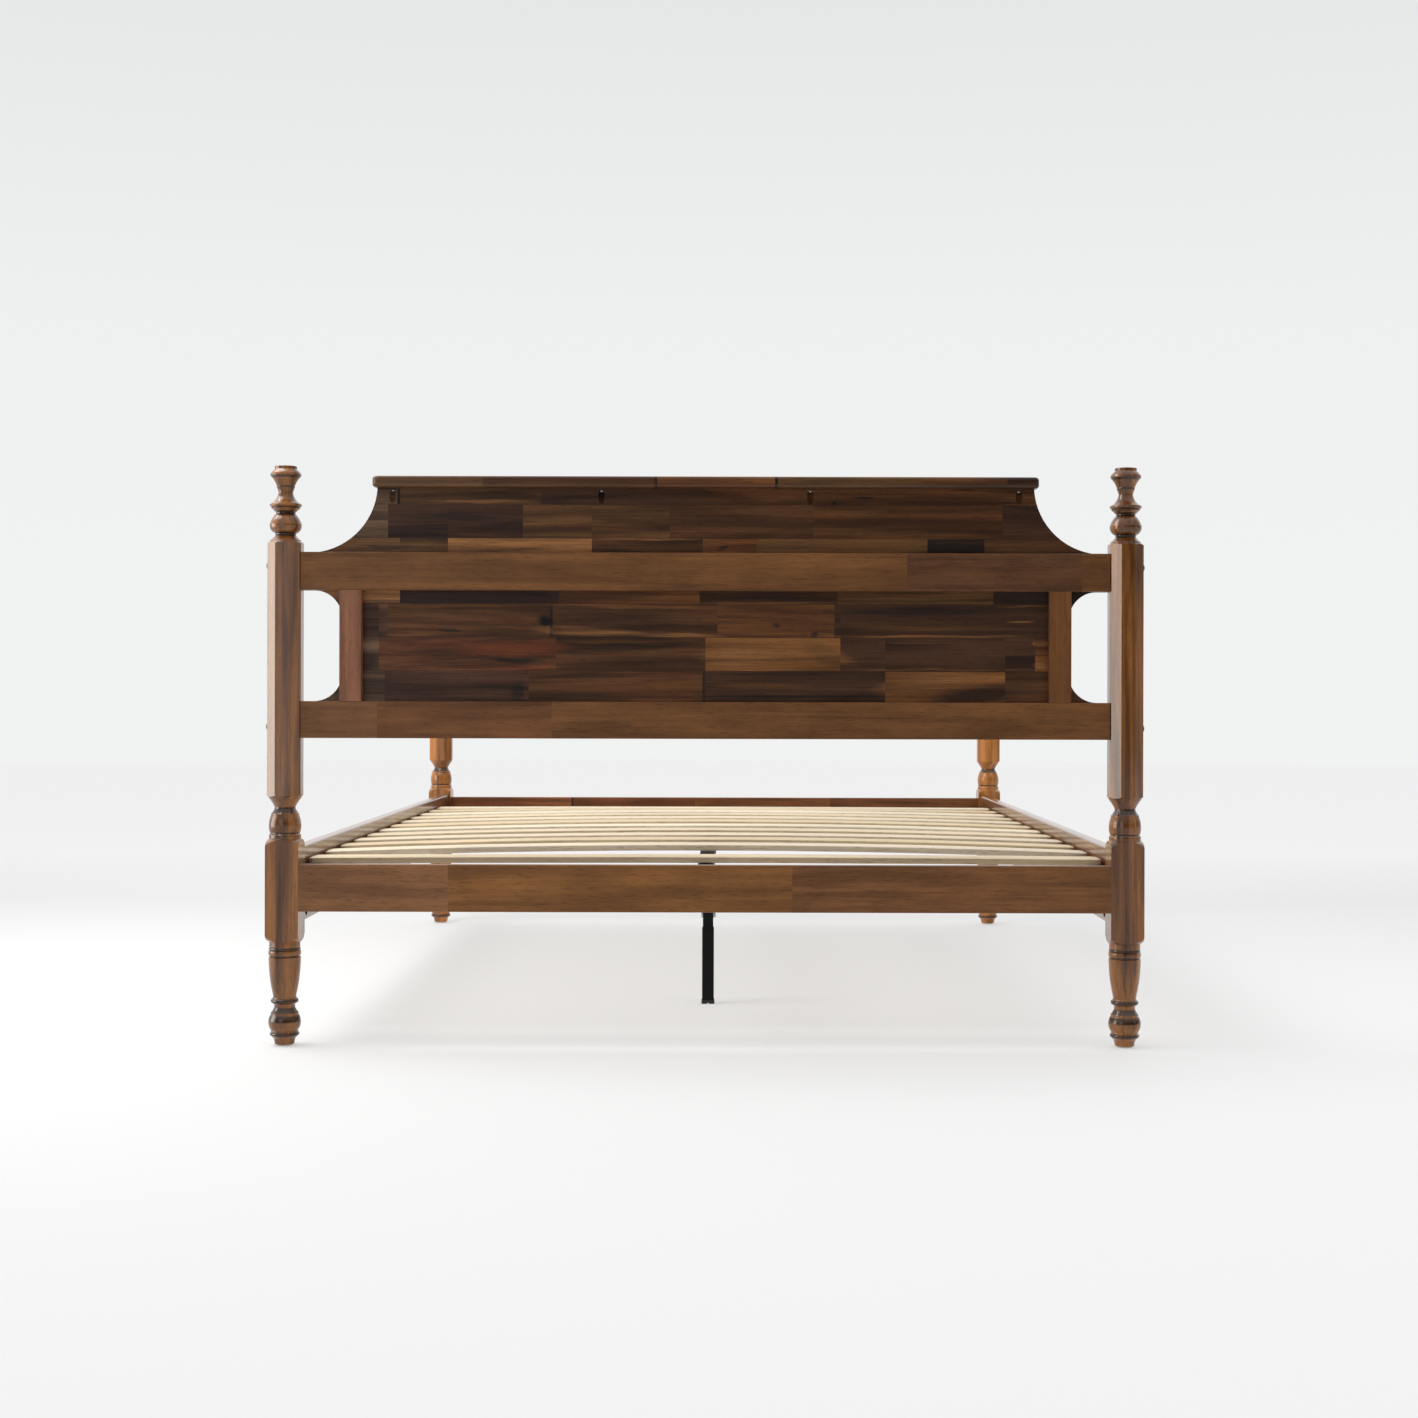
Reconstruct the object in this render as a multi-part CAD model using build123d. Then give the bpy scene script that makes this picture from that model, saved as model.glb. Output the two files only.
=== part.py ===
from build123d import *
import math
import os

os.makedirs("parts", exist_ok=True)

# A queen-size wooden bed frame with four turned posts and a panelled headboard.
# X runs across the bed, Y runs from the head (minus) to the foot (plus) and Z is up.
# The origin is on the floor, midway between the four posts. Left is minus X.

# ---- Driving dimensions, millimetres and degrees ----
POST_X = 787.5              # post axis from the middle of the bed, across
POST_Y = 1056.0             # post axis from the middle of the bed, along
OCTAGON = 63.0              # octagonal shaft of a post, across flats
BLOCK = 62.0                # square block of a post, where the rails join
HEAD_POST_HEIGHT = 1085.0
FOOT_POST_HEIGHT = 760.0
GLIDE = 3.0                 # floor glide under each post
GLIDE_DIAMETER = 28.0

RAIL_THICKNESS = 24.0
SIDE_RAIL_X = 774.0         # middle of a side rail's thickness
SIDE_RAIL_Z = (228.0, 370.0)
HEAD_RAIL_Y = -1075.0       # middle of the head rail's thickness, flush with the blocks behind
HEAD_RAIL_Z = (253.0, 341.0)
FOOT_RAIL_Y = 1043.0
FOOT_RAIL_Z = (228.0, 362.0)

FRAME_Y = (-1072.0, -1052.0)    # back frame of the headboard
PANEL_Y = (-1052.0, -1034.0)    # panel glued to the front of it
UPPER_RAIL_Z = (853.0, 924.0)
LOWER_RAIL_Z = (576.0, 645.0)
STILE_X = (643.0, 684.0)
CUTOUT_X = 682.0                # inner edge of the D-shaped cut-out beside each post
CUTOUT_RADIUS = 53.0
CREST_RADIUS = 130.0            # hollow shoulder of the crest
CREST_CENTRE = (746.0, 1053.5)
CAP_HALF = 623.0
CAP_Y = (-1080.0, -1016.0)
CAP_Z = (1045.0, 1066.0)
CAP_ROUNDING = 6.0

SLAT_LENGTH = 1514.0
SLAT_WIDTH = 78.0
SLAT_THICKNESS = 11.5
SLAT_BOTTOM = 334.5
SLAT_CORNER = 12.0
SLAT_EASE = 2.0                  # rounding of a slat's long edges
SLAT_FIRST = -988.0             # edge of the first slat nearest the head
SLAT_PITCH = 157.5
SLAT_CROWNS = (3.0, 15.0, 15.0, 14.0, 14.0, 14.0, 14.0, 13.0, 12.0, 10.0, 6.0, 2.0)
TAPE = 1.0                      # anti-slip tape on the ledgers
TAPE_X = (734.0, 761.5)
LEDGER = 30.0

BEAM = 30.0
BEAM_WALL = 1.5
BEAM_TOP = 334.0
HANGER_PLATE = 3.0
HANGER_WALL = 2.0
LEG_Y = -509.0
LEG_TUBE = 22.0
LEG_WALL = 1.5
LEG_TUBE_END = 90.0
SLEEVE = 25.0
SLEEVE_BORE = 22.6
SLEEVE_Z = (4.0, 162.0)
CROSS_BOLT_Z = 188.0
CROSS_BOLT = 5.5
FOOT_CAP = 27.5
FOOT_CAP_HEIGHT = 8.0

BOLT_HEIGHTS = (597.0, 898.0)   # bolts that hold the headboard rails to the posts
BOLT_Y = -1060.0
BOLT = 6.0
BOLT_LENGTH = 91.0
BOLT_HEAD = (10.0, 6.0)          # diameter and height of a headboard bolt's head
HEX_KEY = 5.0
HEX_KEY_DEPTH = 3.0
COUNTERBORE = 11.0
COUNTERBORE_DEPTH = 22.0
BUTTON = 15.0                   # domed wooden cover over each bolt
BUTTON_RISE = 3.5
BUTTON_RIM = 0.8
BUTTON_PEG = 10.0
DOWEL = 8.0
DOWEL_LENGTH = 40.0
DOWEL_OFFSET = 26.0             # dowel above the lower bolt and below the upper bolt

STUD = 8.0
STUD_IN_POST = 35.0
STUD_IN_RAIL = 50.0
SIDE_STUD_Z = (250.0, 286.0)
HEAD_STUD_Z = (279.0, 315.0)
FOOT_STUD_Z = (268.0, 320.0)
POCKET = 28.0                   # round pocket in a rail's inner face, for a nut and washer
POCKET_SETBACK = 42.0
POCKET_DEPTH = 20.0
WASHER_FLAT = 8.0               # flat of the half-moon washer from the pocket's centre
WASHER_HEIGHT = 14.0
NUT_FLATS = 13.0
NUT_THICKNESS = 6.5

EASE = 1.5                      # rounding of sanded edges
CLEARANCE = 0.5
TUBE_CORNER = 2.0               # corner radius of the square steel tubes

# Screws: diameter, length and diameter of the head.
CAP_SCREW = (4.0, 24.0, 8.0)
LEDGER_SCREW = (5.0, 45.0, 9.5)
HANGER_SCREW = (4.5, 20.0, 8.5)
LEG_PLATE_SCREW = (5.0, 14.0, 9.0)

SIDES = {"left": -1, "right": 1}
ENDS = {"head": -1, "foot": 1}


def dome_bulge(radius, rise):
    """How far a dome's arc, level at its middle, stands out from the chord of its half."""
    sphere = (radius ** 2 + rise ** 2) / (2 * rise)
    return sphere - math.sqrt(sphere ** 2 - (radius ** 2 + rise ** 2) / 4)


# ---- Outline of a turned post ----
# Each row is (diameter, height, bulge): the outline runs to that point, and bulge is how far
# the arc on the way stands out from its chord, or is hollowed into it when negative.
FOOT_AND_LEG = [
    (36.5, GLIDE, 0.0),
    (39.6, 11.0, -0.2),         # tapered foot
    (46.0, 16.0, -0.7),
    (50.0, 18.2, 0.0),
    (50.5, 25.2, 2.3),          # foot bead
    (51.0, 27.2, 0.0),
    (50.6, 28.6, 0.0),
    (52.6, 57.6, 4.5),          # ball
    (51.0, 59.0, 0.0),
    (52.4, 60.4, 0.0),
    (51.4, 61.6, 0.1),
    (39.2, 71.0, -0.5),         # cap over the ball
    (39.0, 74.6, 0.0),
    (42.0, 78.2, -0.3),
    (46.0, 79.4, 0.0),
    (46.0, 88.0, 2.9),          # ankle bead
    (43.0, 90.6, 0.0),
    (43.4, 94.0, 0.0),
    (59.6, 155.5, 1.55),        # barrel of the leg
    (60.2, 165.5, 0.1),
    (57.0, 166.6, 0.0),
    (57.0, 168.6, 0.0),         # fine groove
    (60.0, 169.8, 0.2),
    (60.2, 177.6, 0.4),         # band
    (57.0, 178.8, 0.0),
    (56.8, 183.8, 1.0),         # collar bead
    (57.2, 184.8, 0.0),
    (58.0, 186.0, 0.1),
    (57.4, 193.0, 0.0),         # collar
    (59.5, 194.8, 0.5),
    (88.5, 208.0, 1.5),         # turned shoulder, clear of the block's corners
]
BLOCK_AND_VASE = [
    (88.5, 374.0, 0.0),
    (60.5, 386.6, 1.5),
    (59.0, 387.8, 0.3),
    (59.0, 394.8, 0.3),         # band over the block
    (55.2, 397.2, 0.0),
    (55.2, 398.8, 0.0),
    (57.6, 400.6, 0.2),
    (52.4, 431.5, 2.4),         # vase
    (51.8, 434.2, 0.2),
    (39.0, 443.8, -0.4),
    (38.8, 447.0, 0.0),
    (57.0, 461.8, -0.3),        # flare under the octagon
    (60.0, 464.0, 0.3),
    (62.2, 466.4, 0.2),
    (72.0, 472.0, 0.4),
]
# The head of the post, with heights measured down from its top.
SHAFT_HEAD = [
    (72.0, 147.0, 0.0),
    (62.2, 142.6, 0.3),
    (57.2, 140.4, 0.2),
    (54.0, 137.8, 0.5),
    (38.0, 129.0, -0.5),        # flare over the octagon
    (38.6, 126.0, 0.4),
    (59.6, 112.4, 2.6),         # ball
    (59.6, 109.0, 0.1),
    (36.0, 88.8, 1.6),
    (36.2, 86.8, 0.0),
    (43.0, 83.8, -0.3),
    (44.0, 83.0, 0.1),
    (50.6, 80.0, -0.3),
    (53.2, 79.0, 0.2),
    (53.6, 77.4, 0.3),          # small ring
    (52.6, 76.6, 0.0),
    (57.6, 75.3, 0.2),
    (59.6, 73.6, 0.3),
    (59.4, 72.2, 0.2),          # sharp ring
    (56.4, 70.2, 0.3),
    (27.2, 50.5, -2.9),         # hollow neck
    (27.2, 48.5, 0.0),
    (33.0, 40.2, -0.2),
    (33.8, 39.4, 0.0),
    (33.8, 37.6, 0.3),          # fine ring
    (33.6, 37.2, 0.0),
    (55.6, 19.0, -1.3),         # flared cup
    (57.0, 17.6, 0.2),
    (57.0, 15.2, 0.3),          # rim
    (52.0, 10.8, 0.5),
    (45.6, 7.4, 0.2),
    (43.0, 6.4, -0.2),
    (41.5, 5.4, 0.0),
    (41.5, 1.2, 0.0),           # button on top
    (39.2, 0.0, 0.35),
]


def turned(outline):
    """Turn an outline of (diameter, height, bulge) rows about the Z axis."""
    points = [(diameter / 2, height) for diameter, height, bulge in outline]
    edges = [Line((0, points[0][1]), points[0])]
    for start, end, row in zip(points, points[1:], outline[1:]):
        run = math.dist(start, end)
        out = ((end[1] - start[1]) / run, (start[0] - end[0]) / run)
        middle = tuple((a + b) / 2 + row[2] * n for a, b, n in zip(start, end, out))
        edges.append(ThreePointArc(start, middle, end) if row[2] else Line(start, end))
    if points[-1][0] > 0:
        edges.append(Line(points[-1], (0, points[-1][1])))
    edges.append(Line((0, points[-1][1]), (0, points[0][1])))
    return revolve(Plane.XZ * make_face(edges), Axis.Z)


def rod(start, direction, diameter, length):
    """A round bar, or the drill for a hole, from start along direction."""
    return extrude(Plane(start, z_dir=direction) * Circle(diameter / 2), length)


def block(x, y, z):
    """A box between the given limits of x, y and z."""
    size = (abs(x[1] - x[0]), abs(y[1] - y[0]), abs(z[1] - z[0]))
    return Pos((x[0] + x[1]) / 2, (y[0] + y[1]) / 2, (z[0] + z[1]) / 2) * Box(*size)


def board(x, y, z, along, ease=EASE):
    """A board between limits, its long edges eased."""
    blank = block(x, y, z)
    return fillet(blank.edges().filter_by(along), ease)


def tube(side, bore, height, corner):
    """A square tube standing on the origin's plane."""
    outer = RectangleRounded(side, side, corner)
    inner = RectangleRounded(bore, bore, max(corner - (side - bore) / 2, 0.4))
    return extrude(outer - inner, height)


def screw(point, direction, diameter, length, head, taper=True):
    """A screw whose head is flush with point, or stands on it when taper is off."""
    reach = head / 2 - diameter / 2
    if taper:
        outline = [(diameter * 0.2, -length, 0), (diameter, 1.6 * diameter - length, 0),
                   (diameter, -reach, 0), (head, 0, 0)]
    else:
        outline = [(diameter * 0.2, -length, 0), (diameter, 1.6 * diameter - length, 0),
                   (diameter, 0, 0), (head, 0, 0), (head * 0.8, 0.3 * head, 0.6)]
    facing = Vector(*direction) * -1
    return Plane(point, z_dir=facing) * turned(outline)


def cut(body, tools):
    """Take each tool out of a body."""
    for tool in tools:
        body = body - tool
    return body


def save(name, shape):
    """Write one sub-part under its node's name; a list is a group of separate solids."""
    group = list(shape) if isinstance(shape, (list, tuple)) else shape.solids()
    solids = [solid for item in group for solid in item.solids()]
    shape = solids[0] if len(solids) == 1 else Compound(children=solids)
    shape.label = name
    export_step(shape, f"parts/{name}.step")


# ---- Where the rails bolt to the posts ----
def stud_sites():
    """Each rail bolt: its point on the post's face, its way into the rail and the way inwards."""
    sites = []
    for side in SIDES.values():
        face_x = side * (POST_X - BLOCK / 2)
        for end in ENDS.values():
            for z in SIDE_STUD_Z:
                point = Vector(side * SIDE_RAIL_X, end * (POST_Y - BLOCK / 2), z)
                sites.append(("side", side, end, point, Vector(0, -end, 0), Vector(-side, 0, 0)))
        for z in HEAD_STUD_Z:
            point = Vector(face_x, HEAD_RAIL_Y, z)
            sites.append(("head", side, -1, point, Vector(-side, 0, 0), Vector(0, 1, 0)))
        for z in FOOT_STUD_Z:
            point = Vector(face_x, FOOT_RAIL_Y, z)
            sites.append(("foot", side, 1, point, Vector(-side, 0, 0), Vector(0, -1, 0)))
    return sites


def stud(point, along):
    return rod(point - along * STUD_IN_POST, along, STUD, STUD_IN_POST + STUD_IN_RAIL)


def stud_hole(point, along):
    return rod(point - along * STUD_IN_POST, along, STUD, STUD_IN_POST)


def rail_pocket(point, along, inward):
    """The bolt's clearance hole in the rail's end, and the pocket that its nut sits in."""
    hole = rod(point, along, STUD + CLEARANCE, POCKET_SETBACK)
    face = point + along * POCKET_SETBACK + inward * (RAIL_THICKNESS / 2)
    return hole + rod(face, inward * -1, POCKET, POCKET_DEPTH)


def half_moon_washer(point, along, inward):
    """A segment of a disc that fits the pocket's round wall, flat towards the nut."""
    middle = point + along * POCKET_SETBACK
    plane = Plane(middle - inward * (WASHER_HEIGHT / 2), x_dir=along * -1, z_dir=inward)
    strip = Pos((WASHER_FLAT + POCKET) / 2, 0) * Rectangle(POCKET - WASHER_FLAT, POCKET)
    blank = extrude(plane * (Circle(POCKET / 2) & strip), WASHER_HEIGHT)
    return blank - rod(point, along, STUD + CLEARANCE, POCKET_SETBACK)


def rail_nut(point, along, inward):
    seat = point + along * (POCKET_SETBACK - WASHER_FLAT)
    plane = Plane(seat, x_dir=inward, z_dir=along)
    hexagon = RegularPolygon(NUT_FLATS / 2, 6, major_radius=False, rotation=30)
    return extrude(plane * (hexagon - Circle(STUD / 2)), NUT_THICKNESS)


SITES = stud_sites()


# ---- Posts ----
def post_blank(height):
    """The turned outline cut from square stock below and octagonal stock above."""
    head = [(diameter, height - below, bulge) for diameter, below, bulge in SHAFT_HEAD]
    outline = turned(FOOT_AND_LEG + BLOCK_AND_VASE + head)
    change = 425.0                              # inside the vase, where the section is round
    square = extrude(Rectangle(BLOCK, BLOCK), change)
    octagon = RegularPolygon(OCTAGON / 2, 8, major_radius=False, rotation=22.5)
    shaft = Pos(0, 0, change) * extrude(octagon, height + 1 - change)
    return outline & (square + shaft)


def headboard_sites():
    """Each headboard bolt: its side, its height and its dowel's height."""
    lower, upper = BOLT_HEIGHTS
    heights = ((lower, lower + DOWEL_OFFSET), (upper, upper - DOWEL_OFFSET))
    return [(side, z, dowel) for side in SIDES.values() for z, dowel in heights]


OUTER_X = POST_X + OCTAGON / 2
INNER_X = POST_X - OCTAGON / 2
BOLT_SEAT = OUTER_X - COUNTERBORE_DEPTH


def headboard_dowel(side, z):
    start = (side * (INNER_X - DOWEL_LENGTH / 2), BOLT_Y, z)
    return rod(start, (side, 0, 0), DOWEL, DOWEL_LENGTH)


def glide():
    """A nylon glide with a pin that is driven into the foot of the post."""
    return extrude(Circle(GLIDE_DIAMETER / 2), GLIDE) + extrude(Circle(3.0), GLIDE + 15.0)


def bed_post(side, end):
    height = HEAD_POST_HEIGHT if end < 0 else FOOT_POST_HEIGHT
    body = Pos(side * POST_X, end * POST_Y, 0) * (post_blank(height) - glide())
    drills = [stud_hole(site[3], site[4]) for site in SITES if site[1:3] == (side, end)]
    if end < 0:
        for at, z, dowel in headboard_sites():
            if at == side:
                outside = (side * OUTER_X, BOLT_Y, z)
                drills.append(rod(outside, (-side, 0, 0), BOLT + CLEARANCE, OCTAGON))
                drills.append(rod(outside, (-side, 0, 0), COUNTERBORE, COUNTERBORE_DEPTH))
                drills.append(headboard_dowel(side, dowel))
    return cut(body, drills)


for end_name, end in ENDS.items():
    for side_name, side in SIDES.items():
        save(f"{end_name}_post_{side_name}", bed_post(side, end))

save("post_glides", [Pos(side * POST_X, end * POST_Y, 0) * glide()
                     for side in SIDES.values() for end in ENDS.values()])


# ---- Headboard ----
BARREL_NUT = 10.0
BARREL_NUT_LENGTH = 14.0
BARREL_NUT_X = 716.0
TENON_THICKNESS = 8.0
TENON_LENGTH = 16.0
TENON_SHOULDER = 5.0


def headboard_bolt(side, z):
    seat = Vector(side * BOLT_SEAT, BOLT_Y, z)
    head = rod(seat, (side, 0, 0), *BOLT_HEAD)
    socket_floor = seat + Vector(side * (BOLT_HEAD[1] - HEX_KEY_DEPTH), 0, 0)
    socket = Plane(socket_floor, z_dir=(side, 0, 0)) * RegularPolygon(HEX_KEY / 2, 6)
    return head + rod(seat, (-side, 0, 0), BOLT, BOLT_LENGTH) - extrude(socket, HEX_KEY_DEPTH)


def barrel_nut(side, z):
    start = (side * BARREL_NUT_X, PANEL_Y[0] - 1.0, z)
    blank = rod(start, (0, -1, 0), BARREL_NUT, BARREL_NUT_LENGTH)
    return blank - rod((side * (BARREL_NUT_X - 20), BOLT_Y, z), (side, 0, 0), BOLT, 40.0)


def button_cover(side, z):
    """A domed wooden button on a short peg, pressed into the bolt's counterbore."""
    face = Plane((side * OUTER_X, BOLT_Y, z), z_dir=(side, 0, 0))
    bulge = dome_bulge(BUTTON / 2, BUTTON_RISE - BUTTON_RIM)
    dome = turned([(BUTTON, 0, 0), (BUTTON, BUTTON_RIM, 0), (0, BUTTON_RISE, bulge)])
    peg = Pos(0, 0, -BUTTON_PEG) * extrude(Circle(COUNTERBORE / 2), BUTTON_PEG)
    return face * (dome + peg)


def stile_tenons(side):
    """Stub tenons on both ends of a stile."""
    x = (side * (STILE_X[0] + TENON_SHOULDER), side * (STILE_X[1] - TENON_SHOULDER))
    middle = (FRAME_Y[0] + FRAME_Y[1]) / 2
    y = (middle - TENON_THICKNESS / 2, middle + TENON_THICKNESS / 2)
    return block(x, y, (LOWER_RAIL_Z[1] - TENON_LENGTH, UPPER_RAIL_Z[0] + TENON_LENGTH))


def headboard_rail(heights):
    """A rail of the back frame, bored for its bolts and dowels and mortised for the stiles."""
    rail = board((-INNER_X, INNER_X), FRAME_Y, heights, Axis.X)
    for side, z, dowel in headboard_sites():
        if heights[0] < z < heights[1]:
            bolt_hole = rod((side * INNER_X, BOLT_Y, z), (-side, 0, 0), BOLT + CLEARANCE, 56.0)
            nut_hole = rod((side * BARREL_NUT_X, FRAME_Y[1], z), (0, -1, 0), BARREL_NUT, 16.0)
            rail = cut(rail, [bolt_hole, nut_hole, headboard_dowel(side, dowel)])
    return cut(rail, [stile_tenons(side) for side in SIDES.values()])


def stile(side):
    x = (side * STILE_X[0], side * STILE_X[1])
    return board(x, FRAME_Y, (LOWER_RAIL_Z[1], UPPER_RAIL_Z[0]), Axis.Z) + stile_tenons(side)


# Screws that run up through the crest into the cap, each from a slanted pocket behind.
CAP_SCREW_X = (-588.0, -196.0, 196.0, 588.0)
CAP_SCREW_Z = 1029.5
CAP_SCREW_TILT = 26.0
CAP_POCKET = 12.0
CAP_SEAT = 12.5             # seat of the screw's head along its axis from the rear face
CAP_POCKET_RUNOUT = 20.0    # the drill's path outside the rear face


def cap_screw_axis():
    tilt = math.radians(CAP_SCREW_TILT)
    return Vector(0, math.sin(tilt), math.cos(tilt))


def cap_pocket(x):
    axis = cap_screw_axis()
    mouth = Vector(x, PANEL_Y[0], CAP_SCREW_Z)
    return rod(mouth - axis * CAP_POCKET_RUNOUT, axis, CAP_POCKET, CAP_POCKET_RUNOUT + CAP_SEAT)


def cap_screw(x):
    axis = cap_screw_axis()
    seat = Vector(x, PANEL_Y[0], CAP_SCREW_Z) + axis * CAP_SEAT
    return screw(seat, axis, *CAP_SCREW, taper=False)


def headboard_panel():
    """The front panel: hollow-shouldered crest above, D-shaped cut-outs beside the posts."""
    cx, cz = CREST_CENTRE
    top, bottom = CAP_Z[0], LOWER_RAIL_Z[0]
    shoulder = cz - CREST_RADIUS
    reach = math.sqrt(CREST_RADIUS ** 2 - (cz - top) ** 2)
    low, high = LOWER_RAIL_Z[1], UPPER_RAIL_Z[0]
    turn = 1 - math.sqrt(0.5)
    half = [(0, bottom), (INNER_X, bottom), (INNER_X, low)]
    edges = [Line(a, b) for a, b in zip(half, half[1:])]
    inner = CUTOUT_X + CUTOUT_RADIUS
    edges.append(Line(half[-1], (inner, low)))
    edges.append(ThreePointArc((inner, low),
                               (CUTOUT_X + turn * CUTOUT_RADIUS, low + turn * CUTOUT_RADIUS),
                               (CUTOUT_X, low + CUTOUT_RADIUS)))
    edges.append(Line((CUTOUT_X, low + CUTOUT_RADIUS), (CUTOUT_X, high - CUTOUT_RADIUS)))
    edges.append(ThreePointArc((CUTOUT_X, high - CUTOUT_RADIUS),
                               (CUTOUT_X + turn * CUTOUT_RADIUS, high - turn * CUTOUT_RADIUS),
                               (inner, high)))
    edges.append(Line((inner, high), (INNER_X, high)))
    edges.append(Line((INNER_X, high), (INNER_X, shoulder)))
    edges.append(Line((INNER_X, shoulder), (cx, shoulder)))
    diagonal = CREST_RADIUS * math.sqrt(0.5)
    edges.append(ThreePointArc((cx, shoulder), (cx - diagonal, cz - diagonal), (cx - reach, top)))
    edges.append(Line((cx - reach, top), (0, top)))
    edges.append(Line((0, top), (0, bottom)))
    right = extrude(Plane.XZ.offset(-PANEL_Y[1]) * make_face(edges), PANEL_Y[1] - PANEL_Y[0])
    blank = right + mirror(right, Plane.YZ)
    pockets = [cap_pocket(x) for x in CAP_SCREW_X]
    return cut(blank, pockets + [cap_screw(x) for x in CAP_SCREW_X])


def headboard_cap():
    blank = block((-CAP_HALF, CAP_HALF), CAP_Y, CAP_Z)
    rounded = fillet(blank.edges().filter_by(Axis.Z), 2 * CAP_ROUNDING)
    rounded = fillet(rounded.faces().sort_by(Axis.Z)[-1].edges(), CAP_ROUNDING)
    rounded = fillet(rounded.faces().sort_by(Axis.Z)[0].edges(), CAP_ROUNDING)
    return cut(rounded, [cap_screw(x) for x in CAP_SCREW_X])


save("headboard_panel", headboard_panel())
save("headboard_upper_rail", headboard_rail(UPPER_RAIL_Z))
save("headboard_lower_rail", headboard_rail(LOWER_RAIL_Z))
for side_name, side in SIDES.items():
    save(f"headboard_stile_{side_name}", stile(side))
save("headboard_cap", headboard_cap())
save("cap_screws", [cap_screw(x) for x in CAP_SCREW_X])
save("headboard_bolts", [headboard_bolt(side, z) for side, z, dowel in headboard_sites()])
save("headboard_barrel_nuts", [barrel_nut(side, z) for side, z, dowel in headboard_sites()])
save("bolt_cover_buttons", [button_cover(side, z) for side, z, dowel in headboard_sites()])
save("headboard_dowels", [headboard_dowel(side, dowel) for side, z, dowel in headboard_sites()])


# ---- Bed rails, with the ledgers that carry the slats ----
RAIL_END_Y = POST_Y - BLOCK / 2
RAIL_END_X = POST_X - BLOCK / 2
RAIL_INNER_X = SIDE_RAIL_X - RAIL_THICKNESS / 2
LEDGER_X = (RAIL_INNER_X - LEDGER, RAIL_INNER_X)
LEDGER_TOP = SLAT_BOTTOM - TAPE
LEDGER_END = 1015.0
LEDGER_SCREW_PITCH = 300.0
BED_RAIL_EASE = 3.0


def pockets_for(kind, side=None):
    return [rail_pocket(*site[3:]) for site in SITES
            if site[0] == kind and side in (None, site[1])]


def ledger_screws(side):
    """Screws through the ledger into the rail, evenly spaced along it."""
    rows = range(-3, 4)
    z = LEDGER_TOP - LEDGER / 2
    return [screw((side * LEDGER_X[0], row * LEDGER_SCREW_PITCH, z), (side, 0, 0), *LEDGER_SCREW)
            for row in rows]


def side_rail(side):
    x = (side * RAIL_INNER_X, side * (RAIL_INNER_X + RAIL_THICKNESS))
    rail = board(x, (-RAIL_END_Y, RAIL_END_Y), SIDE_RAIL_Z, Axis.Y, BED_RAIL_EASE)
    return cut(rail, pockets_for("side", side) + ledger_screws(side))


def slat_ledger(side):
    x = (side * LEDGER_X[0], side * LEDGER_X[1])
    ledger = block(x, (-LEDGER_END, LEDGER_END), (LEDGER_TOP - LEDGER, LEDGER_TOP))
    return cut(ledger, ledger_screws(side))


def end_rail(kind, middle, heights):
    y = (middle - RAIL_THICKNESS / 2, middle + RAIL_THICKNESS / 2)
    rail = board((-RAIL_END_X, RAIL_END_X), y, heights, Axis.X, BED_RAIL_EASE)
    return cut(rail, pockets_for(kind) + hanger_screws(kind))


# ---- Centre beam on its hangers ----
HANGER_WIDTH = 90.0
HANGER_Z = (296.0, 338.0)
HANGER_REACH = 40.0
HANGER_DROP = 6.0           # from the beam's top to the top of the seat's cheeks
HANGER_SCREW_X = 33.0
HANGER_SCREW_Z = (306.0, 328.0)
LEG_PLATE_SCREW_Y = 24.0    # from the leg's axis, either way along the beam
HANGER_FACE = {"head": HEAD_RAIL_Y + RAIL_THICKNESS / 2, "foot": FOOT_RAIL_Y - RAIL_THICKNESS / 2}


def hanger_screws(kind):
    """Four screws that hold a hanger to the inner face of its rail."""
    end = ENDS[kind]
    y = HANGER_FACE[kind] - end * HANGER_PLATE
    places = [(x, z) for x in (-HANGER_SCREW_X, HANGER_SCREW_X) for z in HANGER_SCREW_Z]
    return [screw((x, y, z), (0, end, 0), *HANGER_SCREW, taper=False) for x, z in places]


def beam_hanger(kind):
    """A steel plate with a U-shaped seat that the end of the beam drops into."""
    end = ENDS[kind]
    face = HANGER_FACE[kind]
    inner = face - end * HANGER_PLATE
    tip = inner - end * HANGER_REACH
    plate = block((-HANGER_WIDTH / 2, HANGER_WIDTH / 2), (face, inner), HANGER_Z)
    half = BEAM / 2 + HANGER_WALL
    floor = BEAM_TOP - BEAM
    seat = block((-half, half), (inner, tip), (floor - HANGER_WALL, BEAM_TOP - HANGER_DROP))
    seat = seat - block((-BEAM / 2, BEAM / 2), (inner, tip), (floor, BEAM_TOP))
    return cut(plate + seat, hanger_screws(kind))


def leg_plate_screws():
    """Two screws up through the leg's plate into the beam."""
    floor = BEAM_TOP - BEAM - HANGER_PLATE
    return [screw((0, LEG_Y + dy, floor), (0, 0, 1), *LEG_PLATE_SCREW, taper=False)
            for dy in (-LEG_PLATE_SCREW_Y, LEG_PLATE_SCREW_Y)]


def centre_beam():
    ends = [HANGER_FACE[kind] - ENDS[kind] * HANGER_PLATE for kind in ("head", "foot")]
    blank = tube(BEAM, BEAM - 2 * BEAM_WALL, ends[1] - ends[0], TUBE_CORNER)
    beam = Plane((0, ends[0], BEAM_TOP - BEAM / 2), x_dir=(1, 0, 0), z_dir=(0, 1, 0)) * blank
    return cut(beam, leg_plate_screws())


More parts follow.
